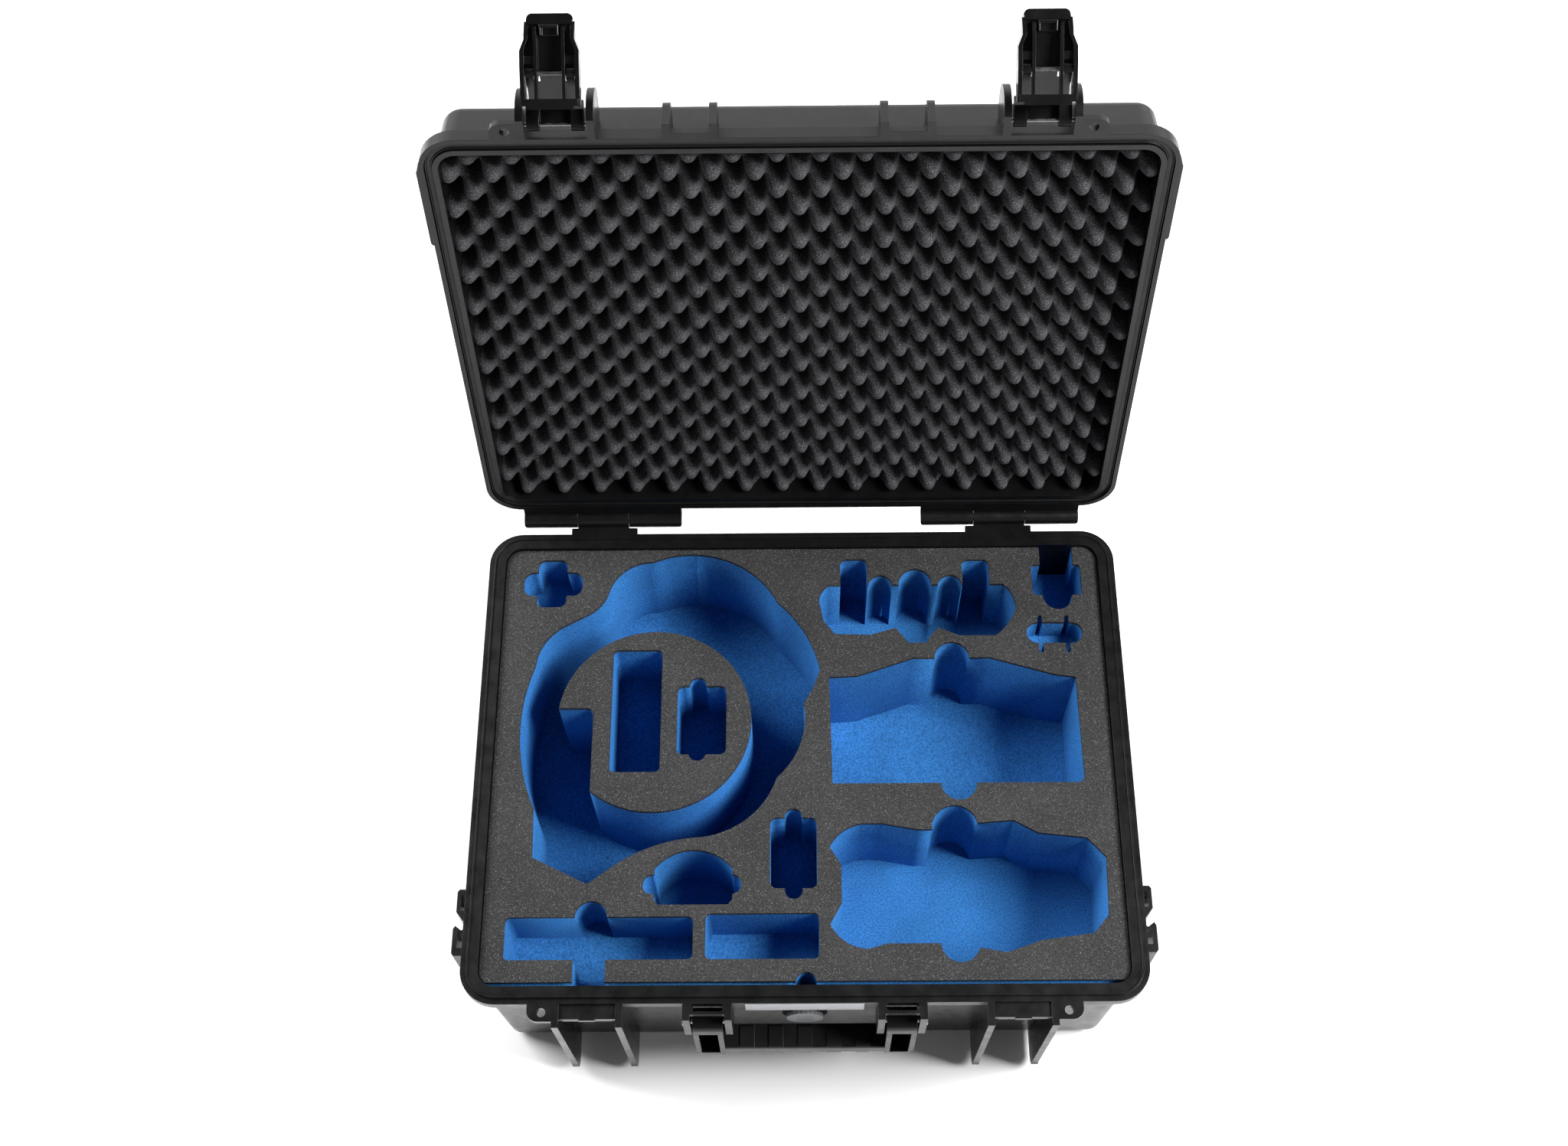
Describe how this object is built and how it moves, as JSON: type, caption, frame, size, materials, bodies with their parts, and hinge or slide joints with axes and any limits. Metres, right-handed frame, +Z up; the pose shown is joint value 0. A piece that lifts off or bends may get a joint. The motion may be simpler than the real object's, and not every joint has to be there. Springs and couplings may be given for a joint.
{
  "type": "hard carrying case",
  "caption": "Black hard-shell carrying case with an open lid, draw latches, a front carrying handle, an air valve and a cut foam insert for a folding drone kit.",
  "frame": {"origin": "middle of the base's underside, on the floor", "axes": "+X to the right seen from the front, +Y towards the hinges, +Z up; the front with the handle faces -Y"},
  "size_m": [0.515, 0.5327, 0.6134],
  "materials": {
    "shell": "satin",
    "latch": "satin",
    "handle": "satin",
    "grip": "matte",
    "valve": "matte",
    "rubber": "matte",
    "plate": "satin",
    "pin": "satin",
    "foam_blue": "matte",
    "foam_black": "matte",
    "foam_grey": "matte"
  },
  "bodies": {
    "base": {"base_shell": "shell", "name_plate": "plate", "valve_seal": "rubber", "valve_body": "valve", "valve_membrane": "rubber", "valve_cap": "valve", "valve_nut": "valve", "foam_base_pad": "foam_blue", "foam_block": "foam_blue", "foam_skin": "foam_black", "foam_island_skin": "foam_black", "hinge_pin_right": "pin", "hinge_pin_left": "pin", "handle_pin_right": "pin", "handle_pin_left": "pin"},
    "lid": {"lid_shell": "shell", "lid_seal": "rubber", "lid_foam": "foam_grey", "latch_pin_right": "pin", "latch_pin_left": "pin"},
    "handle": {"handle_frame": "handle", "handle_grip": "grip"},
    "latch_link_right": {"latch_link_right": "latch"},
    "latch_lever_right": {"latch_lever_right": "latch", "latch_lever_pin_right": "pin", "latch_clip_right": "latch"},
    "latch_link_left": {"latch_link_left": "latch"},
    "latch_lever_left": {"latch_lever_left": "latch", "latch_lever_pin_left": "pin", "latch_clip_left": "latch"}
  },
  "joints": [
    {"name": "lid_hinge", "type": "hinge", "parent": "base", "child": "lid", "pos_m": [0, 0.204, 0.163], "axis": [1, 0, 0], "range_deg": [0, 100]},
    {"name": "latch_link_right_hinge", "type": "hinge", "parent": "lid", "child": "latch_link_right", "pos_m": [0.1565, 0.2793, 0.55894], "axis": [1, 0, 0], "range_deg": [0, 89]},
    {"name": "latch_lever_right_hinge", "type": "hinge", "parent": "latch_link_right", "child": "latch_lever_right", "pos_m": [0.1565, 0.29161, 0.59277], "axis": [1, 0, 0], "range_deg": [0, 41]},
    {"name": "latch_link_left_hinge", "type": "hinge", "parent": "lid", "child": "latch_link_left", "pos_m": [-0.1565, 0.2793, 0.55894], "axis": [1, 0, 0], "range_deg": [0, 89]},
    {"name": "latch_lever_left_hinge", "type": "hinge", "parent": "latch_link_left", "child": "latch_lever_left", "pos_m": [-0.1565, 0.29161, 0.59277], "axis": [1, 0, 0], "range_deg": [0, 41]},
    {"name": "handle_swing", "type": "hinge", "parent": "base", "child": "handle", "pos_m": [0, -0.1975, 0.141], "axis": [-1, 0, 0], "range_deg": [0, 100]}
  ]
}
